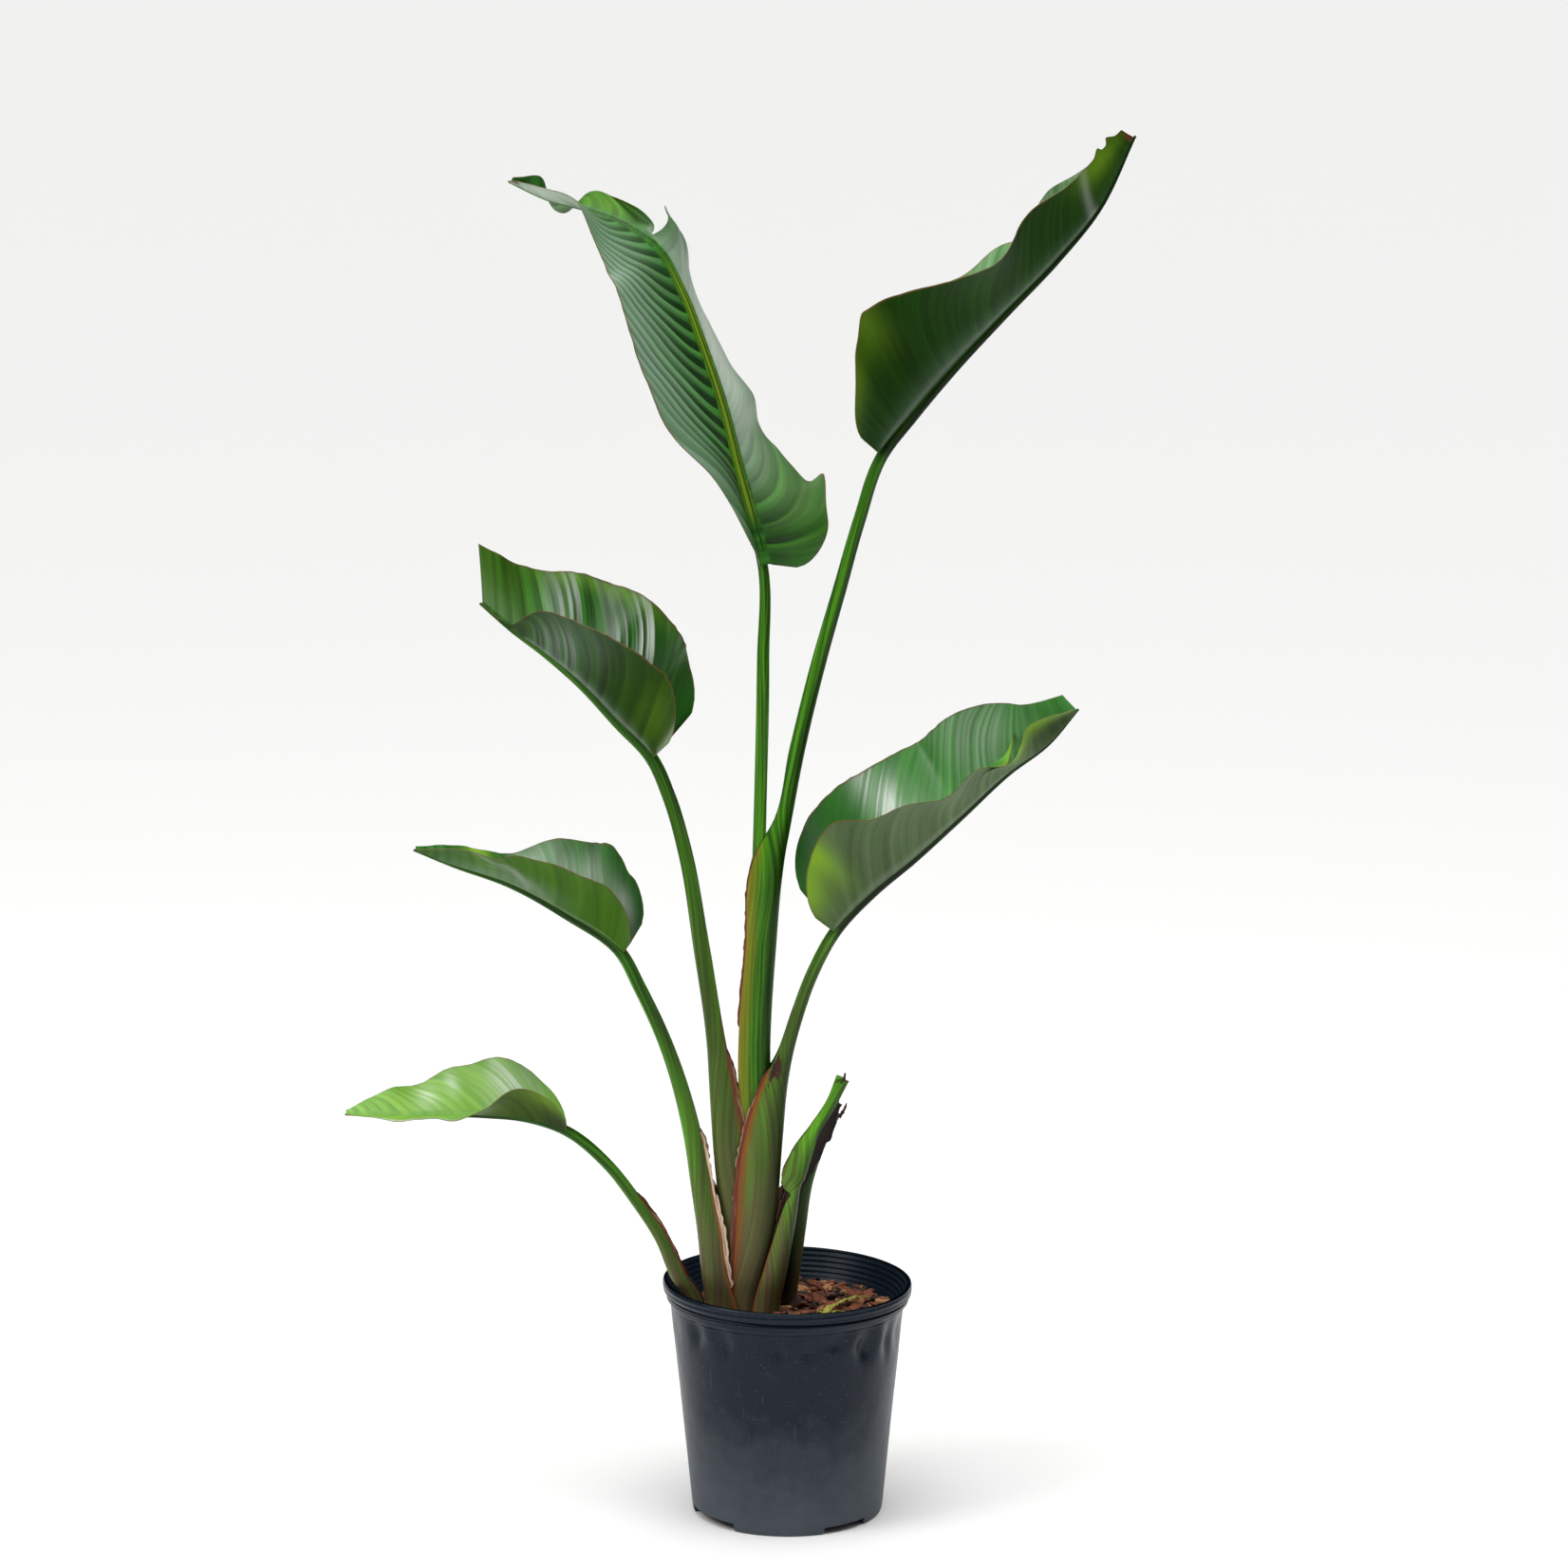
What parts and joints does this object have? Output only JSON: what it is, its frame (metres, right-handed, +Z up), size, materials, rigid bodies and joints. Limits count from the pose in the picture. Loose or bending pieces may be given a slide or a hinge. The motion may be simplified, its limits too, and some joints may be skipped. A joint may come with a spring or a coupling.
{
  "type": "potted giant white bird of paradise plant",
  "caption": "Tall plant with large paddle leaves folded along the midrib on long grooved stalks, rising in a flat fan from bark soil in a round nursery pot.",
  "frame": {"origin": "centre of the pot's flat underside, on the floor", "axes": "+Z up along the pot's axis; +X to the right in the picture, along the flat fan of leaves; +Y away from the viewer"},
  "size_m": [0.7863, 0.2809, 1.4056],
  "materials": {
    "pot_plastic": "satin, scuffed",
    "bark_soil": "rough, loose bark",
    "stalk": "smooth living stalk",
    "blade": "glossy above, matt below",
    "dry_sheath_edge": "dry and papery",
    "leaf_scrap": "fresh torn leaf"
  },
  "bodies": {
    "root": {"pot": "pot_plastic", "soil": "bark_soil", "leaf_1_youngest_stalk": "stalk", "leaf_1_youngest_blade": "blade", "leaf_2_upper_right_stalk": "stalk", "leaf_2_upper_right_blade": "blade", "leaf_2_upper_right_dry_edge_front": "dry_sheath_edge", "leaf_2_upper_right_dry_edge_back": "dry_sheath_edge", "leaf_3_middle_left_stalk": "stalk", "leaf_3_middle_left_blade": "blade", "leaf_3_middle_left_dry_edge_front": "dry_sheath_edge", "leaf_3_middle_left_dry_edge_back": "dry_sheath_edge", "leaf_4_lower_left_stalk": "stalk", "leaf_4_lower_left_blade": "blade", "leaf_4_lower_left_dry_edge_front": "dry_sheath_edge", "leaf_4_lower_left_dry_edge_back": "dry_sheath_edge", "leaf_5_lowest_left_stalk": "stalk", "leaf_5_lowest_left_blade": "blade", "leaf_5_lowest_left_dry_edge_front": "dry_sheath_edge", "leaf_5_lowest_left_dry_edge_back": "dry_sheath_edge", "leaf_6_middle_right_stalk": "stalk", "leaf_6_middle_right_blade": "blade", "leaf_6_middle_right_dry_edge_front": "dry_sheath_edge", "leaf_6_middle_right_dry_edge_back": "dry_sheath_edge", "cut_stub_front": "stalk", "cut_stub_back": "stalk", "fallen_leaf_scrap": "leaf_scrap"}
  },
  "joints": []
}
